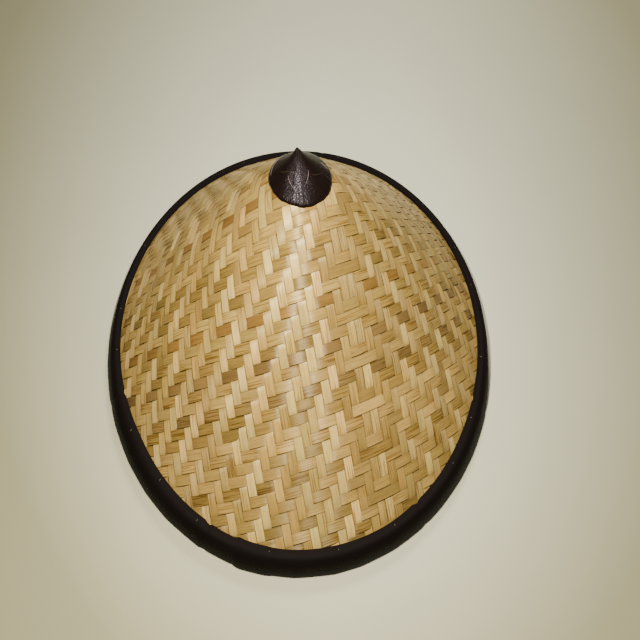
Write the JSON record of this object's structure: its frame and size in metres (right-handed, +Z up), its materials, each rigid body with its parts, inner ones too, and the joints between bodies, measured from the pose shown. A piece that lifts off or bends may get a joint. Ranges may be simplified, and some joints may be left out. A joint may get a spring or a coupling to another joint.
{
  "type": "conical hat",
  "caption": "Wide conical hat of twill-woven bamboo with a cloth-bound rim, a stitched leather cap on the peak, inner ribs and hoops, and a hung head ring with chin loops.",
  "frame": {"origin": "centre of the circle that the rim rests on", "axes": "+Z up along the cone's axis towards the peak, -Y to the front"},
  "size_m": [0.4, 0.4, 0.1809],
  "materials": {
    "straw": "split bamboo, semi-gloss",
    "bamboo": "satin",
    "tape": "matt leatherette tape",
    "leather": "pebbled",
    "thread": "matt",
    "cloth": "matt",
    "cord": "matt"
  },
  "bodies": {
    "root": {"woven_shell": "straw", "rim_binding": "tape", "binding_thread": "thread", "rim_hoop_outer": "bamboo", "rim_hoop_inner": "bamboo", "leather_cap": "leather", "cap_stitching": "thread", "apex_plug": "bamboo", "rib_01": "bamboo", "rib_02": "bamboo", "rib_03": "bamboo", "rib_04": "bamboo", "rib_05": "bamboo", "rib_06": "bamboo", "rib_07": "bamboo", "rib_08": "bamboo", "rib_09": "bamboo", "rib_10": "bamboo", "rib_11": "bamboo", "rib_12": "bamboo", "inner_hoop_1": "bamboo", "inner_hoop_2": "bamboo", "inner_hoop_3": "bamboo", "inner_hoop_4": "bamboo", "head_ring": "bamboo", "head_pad": "cloth", "ring_tie_1": "cord", "ring_tie_2": "cord", "ring_tie_3": "cord", "ring_tie_4": "cord", "ring_tie_5": "cord", "ring_tie_6": "cord", "chin_loop_left": "cord", "chin_loop_right": "cord"}
  },
  "joints": []
}
